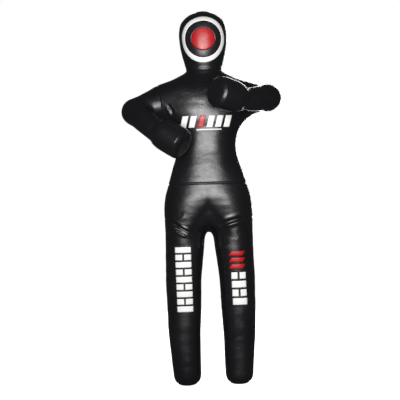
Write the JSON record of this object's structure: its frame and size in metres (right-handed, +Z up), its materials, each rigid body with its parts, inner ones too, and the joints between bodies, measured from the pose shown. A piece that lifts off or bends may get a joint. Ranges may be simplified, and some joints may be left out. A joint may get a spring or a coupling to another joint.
{
  "type": "grappling dummy",
  "caption": "Stuffed synthetic leather figure that stands upright, with bent arms, boxed fists, a hooded head with a round face target, and a zip down the back.",
  "frame": {"origin": "on the floor at the bottom centre of the bounding box", "axes": "+Z up from the feet to the crown, the figure faces -Y, +X towards the figure's left arm"},
  "size_m": [0.6339, 0.4371, 1.52],
  "materials": {
    "leather": "satin",
    "stuffing": "matte",
    "white_print": "satin",
    "red_print": "satin",
    "black_print": "satin",
    "zip_tape": "matte",
    "zip_metal": "satin"
  },
  "bodies": {
    "pelvis": {"pelvis_front_panel": "leather", "pelvis_back_panel": "leather", "pelvis_filling": "stuffing"},
    "torso": {"chest_panel": "leather", "back_panel_left": "leather", "back_panel_right": "leather", "torso_filling": "stuffing", "waist_gusset": "leather", "zip_tape_left": "zip_tape", "zip_tape_right": "zip_tape", "zip_teeth_left": "zip_metal", "zip_teeth_right": "zip_metal", "zip_stops": "zip_metal"},
    "head": {"face_panel": "leather", "head_back_panel": "leather", "head_filling": "stuffing", "target_field": "black_print", "target_ring": "white_print", "target_bullseye": "red_print", "neck_gusset": "leather"},
    "zip_slider": {"zip_slider": "zip_metal"},
    "zip_pull": {"zip_pull": "zip_metal"},
    "right_upper_arm": {"right_upper_arm_sleeve": "leather", "right_upper_arm_filling": "stuffing", "right_elbow_gusset": "leather"},
    "right_forearm": {"right_forearm_sleeve": "leather", "right_forearm_filling": "stuffing", "right_wrist_gusset": "leather"},
    "right_hand": {"right_hand_cover": "leather", "right_hand_end_panel": "leather", "right_hand_filling": "stuffing"},
    "left_upper_arm": {"left_upper_arm_sleeve": "leather", "left_upper_arm_filling": "stuffing", "left_elbow_gusset": "leather"},
    "left_forearm": {"left_forearm_sleeve": "leather", "left_forearm_filling": "stuffing", "left_wrist_gusset": "leather"},
    "left_hand": {"left_hand_cover": "leather", "left_hand_end_panel": "leather", "left_hand_filling": "stuffing"},
    "right_thigh": {"right_hip_gusset": "leather", "right_thigh_cover": "leather", "right_thigh_filling": "stuffing", "right_knee_gusset": "leather"},
    "right_shin": {"right_shin_cover": "leather", "right_shin_filling": "stuffing", "right_sole": "leather"},
    "left_thigh": {"left_hip_gusset": "leather", "left_thigh_cover": "leather", "left_thigh_filling": "stuffing", "left_knee_gusset": "leather"},
    "left_shin": {"left_shin_cover": "leather", "left_shin_filling": "stuffing", "left_sole": "leather"}
  },
  "joints": [
    {"name": "waist_bend", "type": "hinge", "parent": "pelvis", "child": "torso", "pos_m": [0.019, 0.11054, 0.82], "axis": [1, 0, 0], "range_deg": [-15, 44], "deforming": ["waist_gusset"]},
    {"name": "neck_nod", "type": "hinge", "parent": "torso", "child": "head", "pos_m": [0.019, 0.11054, 1.29], "axis": [1, 0, 0], "range_deg": [-20, 30], "deforming": ["neck_gusset"]},
    {"name": "right_shoulder_swing", "type": "hinge", "parent": "torso", "child": "right_upper_arm", "pos_m": [-0.156, 0.11054, 1.165], "axis": [-1, 0, 0], "range_deg": [-10, 80]},
    {"name": "right_elbow_bend", "type": "hinge", "parent": "right_upper_arm", "child": "right_forearm", "pos_m": [-0.268, 0.08054, 1.122], "axis": [0.1114, 0.6552, -0.7472], "range_deg": [-10, 40], "deforming": ["right_elbow_gusset"]},
    {"name": "right_wrist_bend", "type": "hinge", "parent": "right_forearm", "child": "right_hand", "pos_m": [-0.187, -0.02446, 1.042], "axis": [0.3693, -0.366, 0.8542], "range_deg": [-20, 20], "deforming": ["right_wrist_gusset"]},
    {"name": "left_shoulder_swing", "type": "hinge", "parent": "torso", "child": "left_upper_arm", "pos_m": [0.194, 0.11054, 1.165], "axis": [-1, 0, 0], "range_deg": [-30, 40]},
    {"name": "left_elbow_bend", "type": "hinge", "parent": "left_upper_arm", "child": "left_forearm", "pos_m": [0.268, 0.01454, 1.155], "axis": [-0.0275, -0.1245, 0.9918], "range_deg": [-10, 40], "deforming": ["left_elbow_gusset"]},
    {"name": "left_wrist_bend", "type": "hinge", "parent": "left_forearm", "child": "left_hand", "pos_m": [0.175, -0.08446, 1.14], "axis": [-0.5809, 0.6248, -0.5217], "range_deg": [-20, 20], "deforming": ["left_wrist_gusset"]},
    {"name": "right_hip_bend", "type": "hinge", "parent": "pelvis", "child": "right_thigh", "pos_m": [-0.077, 0.11054, 0.65], "axis": [-1, 0, 0], "range_deg": [-15, 75], "deforming": ["right_hip_gusset"]},
    {"name": "right_knee_bend", "type": "hinge", "parent": "right_thigh", "child": "right_shin", "pos_m": [-0.091, 0.11054, 0.37], "axis": [1, 0, 0], "range_deg": [0, 90], "deforming": ["right_knee_gusset"]},
    {"name": "left_hip_bend", "type": "hinge", "parent": "pelvis", "child": "left_thigh", "pos_m": [0.115, 0.11054, 0.65], "axis": [-1, 0, 0], "range_deg": [-15, 75], "deforming": ["left_hip_gusset"]},
    {"name": "left_knee_bend", "type": "hinge", "parent": "left_thigh", "child": "left_shin", "pos_m": [0.129, 0.11054, 0.37], "axis": [1, 0, 0], "range_deg": [0, 90], "deforming": ["left_knee_gusset"]},
    {"name": "zip_slide", "type": "slide", "parent": "torso", "child": "zip_slider", "axis": [0, 0, -1], "range_m": [0, 0.24]},
    {"name": "zip_pull_swing", "type": "hinge", "parent": "zip_slider", "child": "zip_pull", "pos_m": [0.019, 0.21274, 1.2], "axis": [1, 0, 0], "range_deg": [0, 150]}
  ]
}
